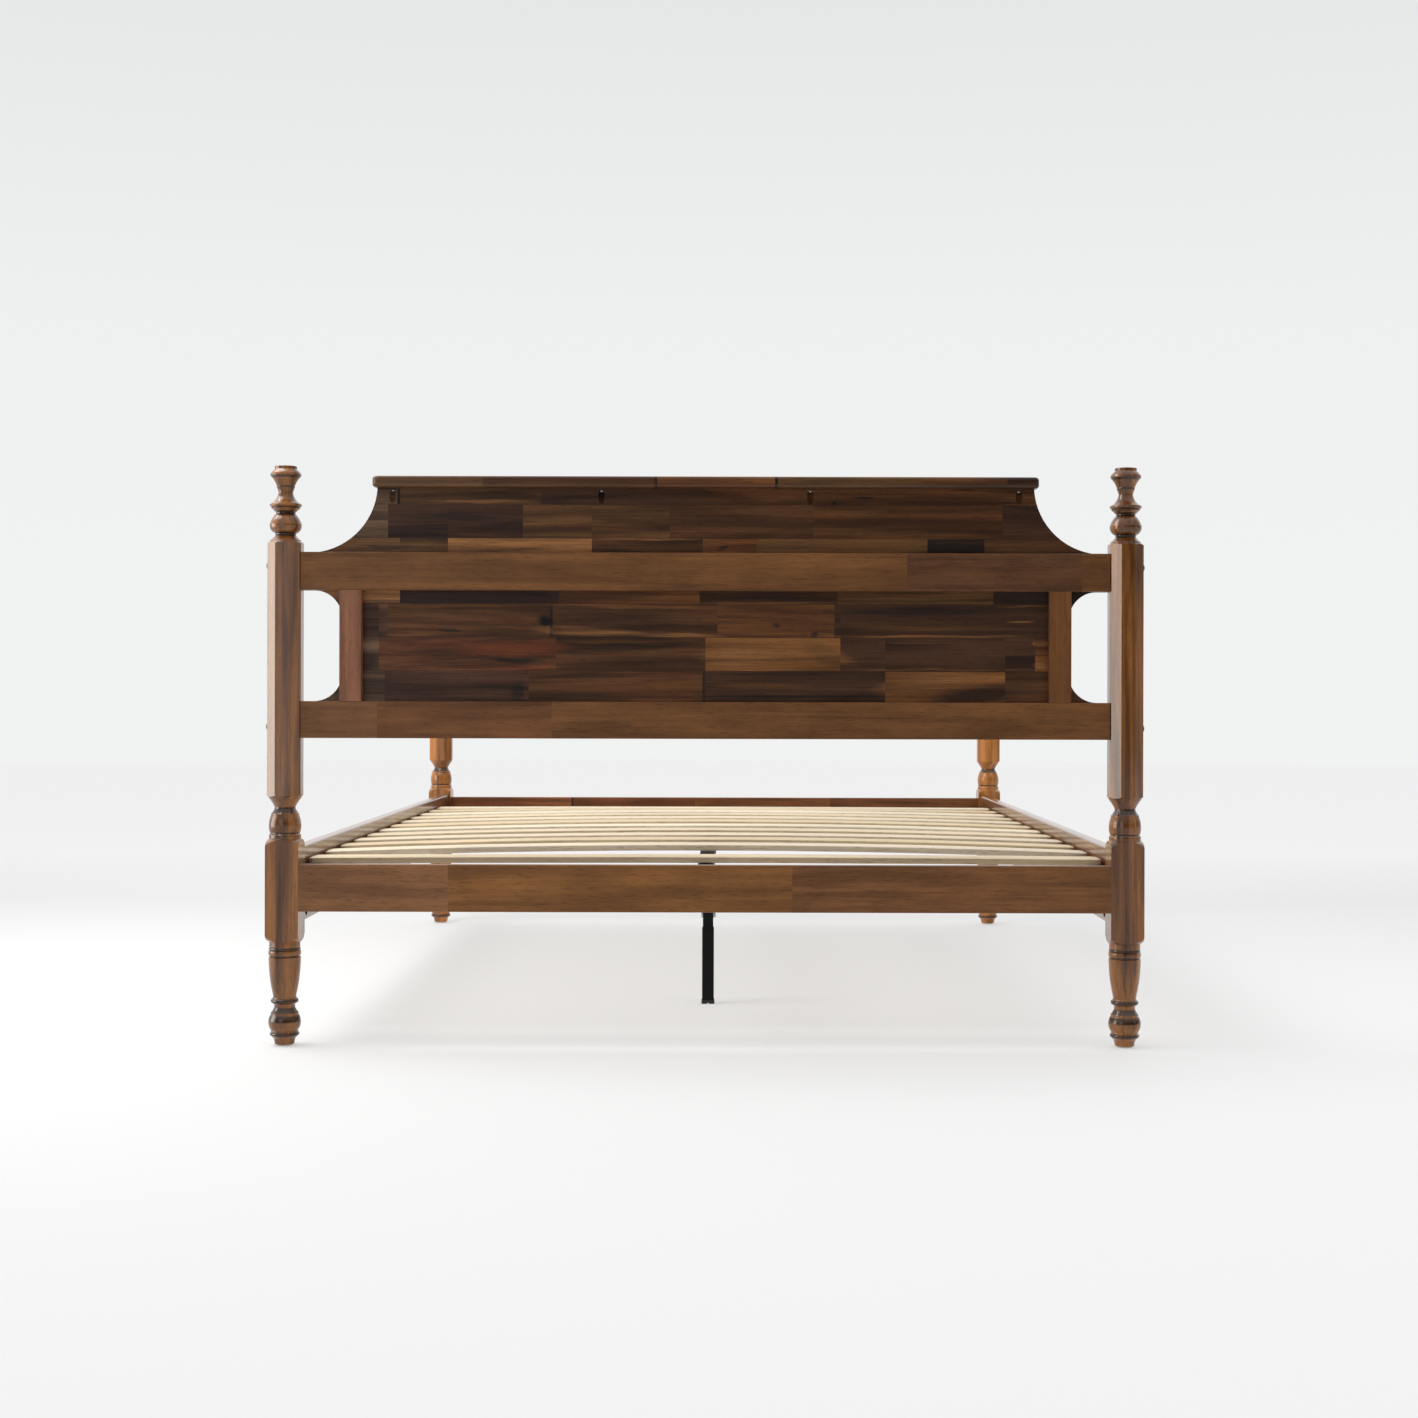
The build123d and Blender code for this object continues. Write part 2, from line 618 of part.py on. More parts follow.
for side_name, side in SIDES.items():
    save(f"side_rail_{side_name}", side_rail(side))
    save(f"slat_ledger_{side_name}", slat_ledger(side))
    tape_x = (side * TAPE_X[0], side * TAPE_X[1])
    save(f"anti_slip_tape_{side_name}",
         block(tape_x, (-LEDGER_END, LEDGER_END), (LEDGER_TOP, SLAT_BOTTOM)))
save("head_end_rail", end_rail("head", HEAD_RAIL_Y, HEAD_RAIL_Z))
save("foot_end_rail", end_rail("foot", FOOT_RAIL_Y, FOOT_RAIL_Z))
save("ledger_screws", ledger_screws(-1) + ledger_screws(1))
save("rail_studs", [stud(site[3], site[4]) for site in SITES])
save("half_moon_washers", [half_moon_washer(*site[3:]) for site in SITES])
save("rail_nuts", [rail_nut(*site[3:]) for site in SITES])
save("centre_beam", centre_beam())
for end_name in ENDS:
    save(f"beam_hanger_{end_name}", beam_hanger(end_name))
save("hanger_screws", hanger_screws("head") + hanger_screws("foot"))
save("leg_plate_screws", leg_plate_screws())


# ---- Slats: thin boards with rounded corners, each a little crowned across the bed ----
def slat(index, crown):
    half = SLAT_LENGTH / 2
    low, high = SLAT_BOTTOM, SLAT_BOTTOM + SLAT_THICKNESS
    edges = [ThreePointArc((-half, low), (0, low + crown), (half, low)),
             Line((half, low), (half, high)),
             ThreePointArc((half, high), (0, high + crown), (-half, high)),
             Line((-half, high), (-half, low))]
    far = SLAT_FIRST + index * SLAT_PITCH + SLAT_WIDTH
    blank = extrude(Plane.XZ.offset(-far) * make_face(edges), SLAT_WIDTH)
    blank = fillet(blank.edges().filter_by(Axis.Z), SLAT_CORNER)
    upright = blank.edges().filter_by(Axis.Z)
    return fillet([edge for edge in blank.edges() if edge not in upright], SLAT_EASE)


for index, crown in enumerate(SLAT_CROWNS):
    save(f"slat_{index + 1:02d}", slat(index, crown))


# ---- Telescopic centre leg ----
LEG_PLATE_LENGTH = 70.0
LEG_PLATE_TOP = BEAM_TOP - BEAM
CAP_SOCKET = 4.0
CAP_PLUG_TOP = 18.0
CAP_NOTCH = (5.0, 2.0)
BOLT_HEAD_FLATS = 9.6
BOLT_HEAD_HEIGHT = 3.6
BOLT_NUT_HEIGHT = 4.4
BOLT_TAIL = 5.5


def cross_bolt():
    """The bolt through the leg: a hexagon head on one side and a nut on the other."""
    half = LEG_TUBE / 2
    left = Plane((-half, LEG_Y, CROSS_BOLT_Z), z_dir=(-1, 0, 0))
    right = Plane((half, LEG_Y, CROSS_BOLT_Z), z_dir=(1, 0, 0))
    hexagon = RegularPolygon(BOLT_HEAD_FLATS / 2, 6, major_radius=False)
    shank = rod((-half, LEG_Y, CROSS_BOLT_Z), (1, 0, 0), CROSS_BOLT, LEG_TUBE + BOLT_TAIL)
    head = extrude(left * hexagon, BOLT_HEAD_HEIGHT)
    return shank + head + extrude(right * hexagon, BOLT_NUT_HEIGHT)


def leg_tube():
    """The fixed upper tube, welded to the plate that holds it to the beam."""
    under = LEG_PLATE_TOP - HANGER_PLATE
    shaft = tube(LEG_TUBE, LEG_TUBE - 2 * LEG_WALL, under - LEG_TUBE_END, TUBE_CORNER)
    half = LEG_PLATE_LENGTH / 2
    plate = block((-BEAM / 2, BEAM / 2), (-half, half), (under, LEG_PLATE_TOP))
    welded = Pos(0, LEG_Y, 0) * (Pos(0, 0, LEG_TUBE_END) * shaft + plate)
    return cut(welded, leg_plate_screws() + [cross_bolt()])


def leg_sleeve():
    """The lower tube, which slides on the upper one to meet the floor."""
    sleeve = tube(SLEEVE, SLEEVE_BORE, SLEEVE_Z[1] - SLEEVE_Z[0], TUBE_CORNER)
    return Pos(0, LEG_Y, SLEEVE_Z[0]) * sleeve


def foot_cap():
    """A plastic cap round the end of the sleeve, with a plug inside it and a notch below."""
    shell = extrude(RectangleRounded(FOOT_CAP, FOOT_CAP, 3.0), FOOT_CAP_HEIGHT)
    wall = extrude(RectangleRounded(SLEEVE, SLEEVE, TUBE_CORNER), CAP_PLUG_TOP)
    inside = RectangleRounded(SLEEVE_BORE, SLEEVE_BORE, 0.8)
    ring = Pos(0, 0, CAP_SOCKET) * (wall - extrude(inside, CAP_PLUG_TOP))
    plug = Pos(0, 0, CAP_SOCKET) * extrude(inside, CAP_PLUG_TOP - CAP_SOCKET)
    notch = Pos(0, 0, CAP_NOTCH[1] / 2) * Box(CAP_NOTCH[0], FOOT_CAP, CAP_NOTCH[1])
    return Pos(0, LEG_Y, 0) * (shell - ring + plug - notch)


save("centre_leg_tube", leg_tube())
save("centre_leg_sleeve", leg_sleeve())
save("centre_leg_foot", foot_cap())
save("leg_cross_bolt", cross_bolt())
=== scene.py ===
import math

import bpy
import numpy as np
from mathutils import Matrix, Vector

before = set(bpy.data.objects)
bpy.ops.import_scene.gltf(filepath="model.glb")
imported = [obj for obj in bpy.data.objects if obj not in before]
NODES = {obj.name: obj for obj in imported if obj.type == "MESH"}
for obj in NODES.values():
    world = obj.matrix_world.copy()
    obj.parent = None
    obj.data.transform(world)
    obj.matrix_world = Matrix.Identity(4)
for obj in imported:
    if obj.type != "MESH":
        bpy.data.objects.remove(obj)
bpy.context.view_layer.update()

bpy.context.scene.view_settings.view_transform = "Standard"


# ---- Colours and nodes ----
def linear(colour):
    """A hex sRGB colour, or a grey level, as a linear RGBA: each channel's gamma curve is undone."""
    if not isinstance(colour, str):
        return (colour, colour, colour, 1.0)
    channels = [int(colour[i:i + 2], 16) / 255 for i in (1, 3, 5)]
    flat = [c / 12.92 if c <= 0.04045 else ((c + 0.055) / 1.055) ** 2.4 for c in channels]
    return (*flat, 1.0)


def add(tree, kind, *, out=0, stops=(), **values):
    """Add a node with its settings and links, and return its output named or numbered out.

    A value named after one of the node's properties sets it. Any other name is an input's, with
    underscores for spaces, or in0, in1 and so on by number: another node's output is linked to it,
    and a hex colour is made linear. Stops are a colour ramp's (position, colour or grey level)."""
    node = tree.nodes.new("ShaderNode" + kind)
    for name, value in values.items():
        if name in node.bl_rna.properties:
            setattr(node, name, value)
            continue
        socket = node.inputs[int(name[2:]) if name[2:].isdigit() else name.replace("_", " ")]
        if isinstance(value, bpy.types.NodeSocket):
            tree.links.new(value, socket)
        else:
            socket.default_value = linear(value) if isinstance(value, str) else value
    for index, (position, colour) in enumerate(stops):
        elements = node.color_ramp.elements
        element = elements[index] if index < 2 else elements.new(position)
        element.position = position
        element.color = linear(colour)
    return node.outputs[out] if node.outputs else None


def finished(name, build):
    """A new material with the shader that a function builds in its node tree."""
    made = bpy.data.materials.new(name)
    made.use_nodes = True
    made.node_tree.nodes.clear()
    add(made.node_tree, "OutputMaterial", Surface=build(made.node_tree))
    return made


# ---- Stained acacia ----
# The staves' tones, from heartwood that the stain leaves nearly black to pale sapwood.
INK, UMBER, COCOA, PLUM = "#2e1f17", "#40281a", "#4c2f1a", "#442a1e"
CHESTNUT, RUSSET, NUT, ASH = "#56351c", "#633b22", "#5b3d22", "#5f4736"
TOFFEE, HONEY, SAND = "#673f20", "#744b28", "#8a5e39"

# A stave's row: its lower edge, then each stave's far end and tone, from the bed's left to its
# right as seen from behind the headboard, in millimetres.
SPAN = 0.72              # half of the length that the rows are given over
JOINT_LINE = 0.8         # a glue line between staves, drawn wider than it is so that it shows
ROW_LINE = 0.5           # half of the glue line between rows, likewise
PANEL_ROWS = [
    (0, [(-560, COCOA), (-250, NUT), (60, UMBER), (330, CHESTNUT), (590, COCOA), (720, NUT)]),
    (640, [(-605, ASH), (-332, PLUM), (-5, CHESTNUT), (333, UMBER), (558, HONEY), (720, CHESTNUT)]),
    (703, [(-616, ASH), (-285, RUSSET), (-3, COCOA), (252, HONEY), (618, UMBER), (720, TOFFEE)]),
    (766, [(-601, PLUM), (-292, CHESTNUT), (20, COCOA), (241, CHESTNUT), (555, UMBER), (720, UMBER)]),
    (829, [(-577, SAND), (-277, PLUM), (-15, TOFFEE), (244, COCOA), (536, NUT), (720, INK)]),
    (890, [(-487, NUT), (-214, SAND), (-10, COCOA), (92, TOFFEE), (416, NUT), (523, INK), (720, COCOA)]),
    (952, [(-601, ASH), (-345, PLUM), (-68, NUT), (200, COCOA), (556, CHESTNUT), (720, UMBER)]),
    (1015, [(-579, ASH), (-314, NUT), (-3, UMBER), (720, CHESTNUT)]),
]


def growth(tree, place, width, length, **noise):
    """Noise with features of a width across the grain and a length along it, in millimetres."""
    drawn_out = add(tree, "Mapping", Vector=place, Scale=(width / length, 1.0, 1.0))
    return add(tree, "TexNoise", Vector=drawn_out, Scale=1000 / width, **noise)


def streak(tree, place, colour, x, z, half_length, half_height, turn, tone, strength=0.85):
    """Lay a streak over a colour: an ellipse in the face of the panel that fades out at its rim."""
    local = add(tree, "Mapping", vector_type="TEXTURE", Vector=place,
                Location=(x / 1000, 0, z / 1000), Rotation=(0, math.radians(turn), 0),
                Scale=(half_length / 1000, 1000, half_height / 1000))
    nearness = add(tree, "TexGradient", gradient_type="SPHERICAL", Vector=local, out="Fac")
    cover = add(tree, "MapRange", Value=nearness, From_Max=0.55, To_Max=strength)
    return add(tree, "Mix", data_type="RGBA", in0=cover, in6=colour, in7=tone, out=2)


def staves(tree, rows, streaks):
    """The colour of rows of glued staves, and their plain tones, which say where a stave ends."""
    place = add(tree, "TexCoord", out="Object")
    wander = growth(tree, place, 25, 120, Detail=2.0, out="Color")
    shift = add(tree, "VectorMath", operation="MULTIPLY_ADD", in0=wander, in1=(0.02, 0, 0.014),
                in2=(-0.01, 0, -0.007))
    marked_place = add(tree, "VectorMath", operation="ADD", in0=place, in1=shift)
    x = add(tree, "SeparateXYZ", Vector=place)
    z = add(tree, "SeparateXYZ", Vector=place, out=2)
    along = add(tree, "MapRange", Value=x, From_Min=-SPAN, From_Max=SPAN)
    colour = tone = None
    for lower_edge, lengths in rows:
        stops = []
        start = -1000 * SPAN
        for end, shade in lengths:
            stops.append((max(0.0, (start / 1000 + SPAN) / (2 * SPAN)), shade))
            if end < 1000 * SPAN:
                stops.append(((end - JOINT_LINE) / 2000 / SPAN + 0.5, INK))
            start = end
        row_tone = row = add(tree, "ValToRGB", Fac=along, stops=stops)
        row_tone.node.color_ramp.interpolation = "CONSTANT"
        for x_z_and_shape in streaks.get(lower_edge, ()):
            row = streak(tree, marked_place, row, *x_z_and_shape)
        if tone is None:
            tone, colour = row_tone, row
            continue
        above = add(tree, "Math", operation="GREATER_THAN", in0=z, in1=lower_edge / 1000)
        line = add(tree, "Math", operation="COMPARE", in0=z, in1=lower_edge / 1000, in2=ROW_LINE / 1000)
        tone = add(tree, "Mix", data_type="RGBA", in0=above, in6=tone, in7=row_tone, out=2)
        colour = add(tree, "Mix", data_type="RGBA", in0=above, in6=colour, in7=row, out=2)
        colour = add(tree, "Mix", data_type="RGBA", in0=line, in6=colour, in7=UMBER, out=2)
    return colour, tone


GRAIN_TURN = {"X": (0, 0, 0), "Y": (0, 0, math.pi / 2), "Z": (0, math.pi / 2, 0)}


def lacquered_wood(name, along, colouring, contrast=1.0, roughness=0.36, coat=0.0, gloss=0.2,
                   mottle=0.0, glaze_and_shade=()):
    """Stained wood under satin lacquer, with its grain along one axis.

    The figure is light and dark bands tens of millimetres wide and hundreds long. Mottle is the
    cloudy ripple of a sanded board. Fine lines and open pores lie along the grain. Each stave has
    its own stretch of the same timber. Glaze and shade are dark bands round a turning: the stain's
    dark glaze on its beads, and painted shade in its grooves and hollows. For each stretch of its
    height, every band's height, half width and softness in millimetres."""
    def build(tree):
        colour, tone = colouring(tree)
        own_place = add(tree, "TexCoord", out="Object")
        turned = add(tree, "Mapping", Vector=own_place, Rotation=GRAIN_TURN[along])
        own = add(tree, "TexWhiteNoise", Vector=tone, out="Color")
        place = add(tree, "VectorMath", operation="MULTIPLY_ADD", in0=own, in1=(5.0, 0.9, 0.9), in2=turned)
        broad = growth(tree, place, 30, 420, Detail=2.5, Roughness=0.5, Distortion=0.6)
        heart = growth(tree, place, 13, 520, Detail=2.0, Roughness=0.5, Distortion=0.4)
        fine = growth(tree, place, 3.2, 170, Detail=3.0, Roughness=0.6)
        pores = growth(tree, place, 1.5, 24, Detail=1.0)
        deep = add(tree, "VectorMath", operation="MULTIPLY", in0=colour,
                   in1=tuple(1 - contrast * c for c in (0.46, 0.50, 0.53)))
        pale = add(tree, "VectorMath", operation="MULTIPLY", in0=colour,
                   in1=tuple(1 + contrast * c for c in (0.60, 0.58, 0.46)))
        bands = add(tree, "ValToRGB", Fac=broad, stops=[(0.38, 0.0), (0.64, 1.0)])
        colour = add(tree, "Mix", data_type="RGBA", in0=bands, in6=deep, in7=pale, out=2)
        shades = [
            add(tree, "ValToRGB", Fac=heart, stops=[(0.30, 1.0 - 0.5 * contrast), (0.40, 1.0)]),
            add(tree, "ValToRGB", Fac=fine, stops=[(0.32, 1.0 - 0.34 * contrast), (0.58, 1.0)]),
            add(tree, "ValToRGB", Fac=pores, stops=[(0.32, 0.70), (0.42, 1.0)]),
        ]
        if mottle:
            cloud = growth(tree, place, 34, 90, Detail=3.0, Roughness=0.6)
            shades.append(add(tree, "ValToRGB", Fac=cloud, stops=[(0.35, 1.0 - mottle), (0.65, 1.0)]))
        # Dark bands by height: dark glaze on the beads, and painted shade in the grooves and hollows.
        for lowest, highest, bands in glaze_and_shade:
            height = add(tree, "MapRange", Value=add(tree, "SeparateXYZ", Vector=own_place, out=2),
                         From_Min=lowest / 1000, From_Max=highest / 1000)
            stops = []
            for middle, half, soft in bands:
                for offset, level in ((-half - soft, 1.0), (-half, 0.22), (half, 0.22), (half + soft, 1.0)):
                    stops.append(((middle + offset - lowest) / (highest - lowest), level))
            shades.append(add(tree, "ValToRGB", Fac=height, stops=stops))
        for shade in shades:
            colour = add(tree, "Mix", data_type="RGBA", blend_type="MULTIPLY", in0=1.0, in6=colour,
                         in7=shade, out=2)
        sheen = add(tree, "MapRange", Value=fine, From_Min=0.3, From_Max=0.7,
                    To_Min=roughness + 0.06, To_Max=roughness - 0.04)
        relief = add(tree, "Bump", Height=shades[2], Strength=0.25, Distance=0.0002)
        return add(tree, "BsdfPrincipled", Base_Color=colour, Roughness=sheen, Normal=relief,
                   IOR=1.5, Specular_IOR_Level=gloss, Coat_Weight=coat, Coat_Roughness=0.1)
    return finished(name, build)


# Dark bands round a turned post: the stain's dark glaze on its beads, and painted shade with the glaze in
# its grooves and hollows.
LEG_GLAZE_AND_SHADE = [(21.7, 3.4, 0.8), (51.0, 4.5, 3.0), (66.5, 4.5, 1.0), (83.7, 4.0, 0.8), (167.6, 1.2, 0.6),
             (181.3, 2.4, 0.8)]
VASE_GLAZE_AND_SHADE = [(398.0, 1.2, 0.8), (441.0, 4.0, 3.0)]
HEAD_GLAZE_AND_SHADE = [(-127.5, 2.4, 2.0), (-88.0, 2.6, 2.5), (-78.0, 0.9, 0.8), (-38.5, 1.0, 0.8),
              (-20.0, 1.6, 1.6)]


def post_glaze_and_shade(height):
    """The dark bands of a post of a height in millimetres, those of its head measured from its top: dark
    glaze on its beads, painted shade in its grooves and hollows.
    """
    head = [(height + below, half, soft) for below, half, soft in HEAD_GLAZE_AND_SHADE]
    return [(0, 200, LEG_GLAZE_AND_SHADE), (380, 460, VASE_GLAZE_AND_SHADE), (height - 140, height, head)]


def one_tone(tone):
    """A colouring for a piece cut from one board."""
    def colouring(tree):
        flat = add(tree, "ValToRGB", Fac=0.0, stops=[(0.0, tone), (1.0, tone)])
        return flat, flat
    return colouring


# The larger streaks and knots in each row of the panel, by the row's lower edge: x, z, half length
# and half height in millimetres, turn in degrees (downwards to the right when positive), tone, and
# a strength where it isn't the usual one.
PANEL_STREAKS = {
    640: [(-352, 665, 16, 26, 12, INK, 0.9), (-336, 662, 7, 20, 0, RUSSET, 0.5),
          (-75, 648, 90, 5, -1, HONEY), (-160, 684, 130, 9, -6, RUSSET, 0.5),
          (150, 656, 230, 3, 0, INK, 0.9), (150, 699, 200, 4, 0, INK, 0.6),
          (90, 675, 120, 9, 0, CHESTNUT, 0.5), (420, 684, 120, 24, -10, SAND, 0.55),
          (515, 658, 140, 24, -11, UMBER, 0.95), (600, 668, 60, 6, 0, PLUM, 0.5)],
    703: [(-360, 744, 120, 17, -2, "#8e4c28", 0.9), (-500, 752, 110, 10, -4, "#7a4228", 0.7),
          (-359, 723, 66, 6, 1, INK, 1.0), (-340, 709, 80, 5, 0, "#86482a", 0.7),
          (-135, 760, 190, 6, 0, HONEY, 0.8), (-130, 751, 170, 3, 1, INK, 0.6),
          (-150, 741, 160, 4, 0, NUT, 0.7), (232, 733, 70, 22, 24, NUT, 0.75),
          (60, 730, 90, 20, 0, SAND, 0.5), (435, 707, 230, 3, 0, HONEY, 0.95),
          (-632, 715, 16, 22, 0, PLUM, 0.6), (630, 756, 18, 9, 0, SAND, 0.7),
          (630, 716, 18, 8, 0, SAND, 0.6)],
    766: [(-500, 824, 190, 6, -1, HONEY, 0.7), (-479, 778, 34, 4, 1, INK, 1.0),
          (-555, 771, 60, 7, 2, HONEY, 0.8), (-440, 795, 150, 8, -3, RUSSET, 0.5),
          (-300, 796, 16, 17, 0, "#0c0806", 1.0), (-135, 824, 200, 5, 1, HONEY, 0.7),
          (-150, 800, 190, 16, 4, UMBER, 0.85), (-215, 776, 120, 12, 3, SAND, 0.9),
          (-60, 769, 110, 6, 1, SAND, 0.8), (90, 793, 60, 8, -4, TOFFEE, 0.5),
          (134, 791, 8, 5, 0, INK, 0.8), (206, 771, 8, 8, 10, INK, 0.9),
          (400, 815, 200, 12, 0, INK, 0.95), (400, 768, 210, 4, 0, HONEY, 0.95),
          (400, 787, 190, 12, 0, NUT, 0.5), (600, 825, 60, 2, 0, SAND, 0.8),
          (592, 798, 34, 3, -1, SAND, 0.7), (605, 772, 40, 5, 0, UMBER, 0.5)],
    829: [(-317, 847, 26, 3, 2, INK, 1.0), (118, 831, 160, 4, 0, HONEY, 1.0),
          (-430, 836, 120, 4, 0, INK, 0.5), (-150, 843, 120, 6, 0, HONEY, 0.6),
          (118, 841, 150, 3, 0, INK, 0.6), (400, 846, 140, 4, 0, TOFFEE, 0.6)],
    890: [(-100, 951, 120, 3, 0, SAND, 0.9), (-160, 925, 60, 6, 4, INK, 0.7),
          (35, 933, 14, 4, -20, INK, 0.9), (-360, 900, 120, 7, 0, NUT, 0.5),
          (55, 918, 40, 18, 8, HONEY, 0.7), (610, 926, 90, 8, 4, NUT, 0.6),
          (-590, 935, 70, 5, 0, INK, 0.6), (-620, 905, 90, 7, -4, HONEY, 0.5)],
    952: [(-470, 990, 110, 9, 0, INK, 0.9), (-200, 975, 130, 10, 0, TOFFEE, 0.5),
          (60, 984, 120, 10, 2, UMBER, 0.7), (330, 965, 170, 8, 0, NUT, 0.5),
          (640, 1008, 80, 6, 0, INK, 1.0), (-430, 960, 100, 5, 2, CHESTNUT, 0.6)],
    1015: [(-420, 1021, 110, 4, 0, SAND, 0.9), (300, 1029, 28, 3, 0, INK, 1.0),
           (240, 1018, 9, 5, -30, INK, 1.0), (487, 1044, 34, 3, 0, INK, 0.9),
           (110, 1032, 130, 8, 0, RUSSET, 0.7), (-160, 1030, 130, 6, 0, INK, 0.5)],
}


# ---- Camera, level behind the headboard and a little right of the middle ----
def place_camera():
    data = bpy.data.cameras.new("camera")
    data.lens = 53.34
    data.sensor_width = 36.0
    data.shift_x = -0.0166
    data.shift_y = -0.0109
    data.clip_end = 200.0
    camera = bpy.data.objects.new("camera", data)
    bpy.context.collection.objects.link(camera)
    level = Matrix.Rotation(math.pi / 2, 4, "X") @ Matrix.Rotation(math.radians(0.14), 4, "Z")
    camera.matrix_world = Matrix.Translation((0.051, -4.996, 0.661)) @ level
    bpy.context.scene.camera = camera


place_camera()


# ---- Floor and soft light ----
FLOOR_RADIUS = 16.0


def make_floor():
    """A round floor: rings whose radius grows evenly from the middle to the rim, each a circle."""
    turns = np.linspace(0, 2 * np.pi, 96, endpoint=False)
    radii = np.linspace(0.5, FLOOR_RADIUS, 12)
    grid = np.zeros((len(radii), len(turns), 3))
    grid[..., 0] = radii[:, None] * np.cos(turns)
    grid[..., 1] = radii[:, None] * np.sin(turns)
    number = np.arange(grid[..., 0].size).reshape(grid.shape[:2])
    following = np.roll(number, -1, axis=1)
    quads = np.stack([number[:-1], number[1:], following[1:], following[:-1]], axis=-1).reshape(-1, 4)
    middle = number[0].tolist()
    mesh = bpy.data.meshes.new("floor")
    mesh.from_pydata(grid.reshape(-1, 3).tolist(), [], [middle] + quads.tolist())
    floor = bpy.data.objects.new("floor", mesh)
    bpy.context.collection.objects.link(floor)

    def build(tree):
        y = add(tree, "SeparateXYZ", Vector=add(tree, "TexCoord", out="Object"), out=1)
        away = add(tree, "MapRange", Value=y, From_Min=-2.0, From_Max=4.0)
        # Painted light: the floor is paler in front of the bed and darker beyond it, a painted pool of
        # light, then paler far off where it meets the backdrop. Its glow lightens the shadow under the bed.
        painted_light_falloff = add(tree, "ValToRGB", Fac=away, stops=[(0.2, 0.47), (0.62, 0.37), (0.95, 0.45)])
        return add(tree, "BsdfPrincipled", Base_Color=painted_light_falloff, Roughness=0.9, Specular_IOR_Level=0.1,
                   Emission_Color="#ffffff", Emission_Strength=0.41)
    mesh.materials.append(finished("matt_white_studio_floor", build))


def make_world():
    """A pale backdrop that gives soft light all round, but little gloss from behind the camera."""
    world = bpy.data.worlds.new("studio")
    bpy.context.scene.world = world
    world.use_nodes = True
    tree = world.node_tree
    tree.nodes.clear()
    ray = add(tree, "TexCoord", out="Generated")
    y = add(tree, "SeparateXYZ", Vector=ray, out=1)
    z = add(tree, "SeparateXYZ", Vector=ray, out=2)
    backdrop = add(tree, "ValToRGB", Fac=z, stops=[(0.02, "#f1f2f2"), (0.17, "#eff0f0"), (0.34, "#e4e6e6")])
    x = add(tree, "SeparateXYZ", Vector=ray)
    leaning = add(tree, "Math", operation="MULTIPLY_ADD", in0=x, in1=-0.45, in2=y)
    beyond = add(tree, "MapRange", Value=leaning, From_Min=-0.5, From_Max=0.5, To_Min=0.012, To_Max=0.95)
    above = add(tree, "MapRange", Value=z, From_Min=0.35, From_Max=0.95, To_Min=0.0, To_Max=1.0)
    gloss = add(tree, "Math", operation="MAXIMUM", in0=beyond, in1=above)
    soft = add(tree, "MapRange", Value=leaning, From_Min=-0.8, From_Max=0.6, To_Min=0.26, To_Max=0.95)
    seen = add(tree, "LightPath", out="Is Camera Ray")
    glossy = add(tree, "LightPath", out="Is Glossy Ray")
    colour = add(tree, "Mix", data_type="RGBA", in0=glossy, in6=soft, in7=gloss, out=2)
    colour = add(tree, "Mix", data_type="RGBA", in0=seen, in6=colour, in7=backdrop, out=2)
    add(tree, "OutputWorld", Surface=add(tree, "Background", Color=colour))


def soft_light(name, place, target, size, power, colour=(1, 1, 1), in_gloss_only=False):
    """A rectangular softbox, in metres and watts, that faces a target."""
    data = bpy.data.lights.new(name, "AREA")
    data.shape = "RECTANGLE"
    data.size, data.size_y = size
    data.energy = power
    data.color = colour
    light = bpy.data.objects.new(name, data)
    bpy.context.collection.objects.link(light)
    light.location = place
    light.rotation_euler = (Vector(target) - Vector(place)).to_track_quat("-Z", "Y").to_euler()
    light.visible_diffuse = not in_gloss_only
    light.visible_camera = False


def sky_light(strength):
    """Even light from straight above, from so wide a disc that its shadows are faint."""
    data = bpy.data.lights.new("ceiling", "SUN")
    data.energy = strength
    data.angle = math.radians(150)
    bpy.context.collection.objects.link(bpy.data.objects.new("ceiling", data))


make_floor()
make_world()
sky_light(1.0)
soft_light("bed_softbox", (-1.6, -0.7, 2.6), (0.2, 1.0, 0.4), (1.6, 1.6), 50)
soft_light("left_window", (-4.0, -1.3, 1.0), (-0.4, -1.1, 0.8), (2.2, 2.2), 95,
           colour=(1, 0.90, 0.80), in_gloss_only=True)
soft_light("right_window", (4.0, -2.2, 1.2), (0.4, -1.1, 0.8), (0.5, 1.8), 4,
           colour=(1, 0.95, 0.9), in_gloss_only=True)
soft_light("left_sky", (-2.0, -4.8, 1.2), (-0.6, -1.0, 0.7), (2.0, 2.0), 16,
           colour=(0.8, 0.92, 1.0), in_gloss_only=True)


# ---- Other finishes ----
def powder_coat(tree):
    """Powder-coated steel: near black, with a fine orange-peel skin that spreads its highlights."""
    place = add(tree, "TexCoord", out="Object")
    skin = add(tree, "TexNoise", Vector=place, Scale=1000 / 1.6, Detail=1.0)
    relief = add(tree, "Bump", Height=skin, Strength=0.25, Distance=0.0002)
    worn = add(tree, "ValToRGB", Fac=add(tree, "TexNoise", Vector=place, Scale=1000 / 60),
               stops=[(0.4, "#060607"), (0.7, "#0b0b0c")])
    return add(tree, "BsdfPrincipled", Base_Color=worn, Roughness=0.5, IOR=1.5,
               Specular_IOR_Level=0.2, Normal=relief)


def zinc_plate(tree):
    """Bright zinc plate on steel: pale, faintly blue, with a cloudy passivated bloom."""
    cloud = add(tree, "TexNoise", Vector=add(tree, "TexCoord", out="Object"), Scale=1000 / 7, Detail=3.0)
    colour = add(tree, "ValToRGB", Fac=cloud, stops=[(0.35, "#aab0b6"), (0.65, "#c8ccd0")])
    rough = add(tree, "MapRange", Value=cloud, To_Min=0.25, To_Max=0.42)
    return add(tree, "BsdfPrincipled", Base_Color=colour, Roughness=rough, Metallic=1.0)


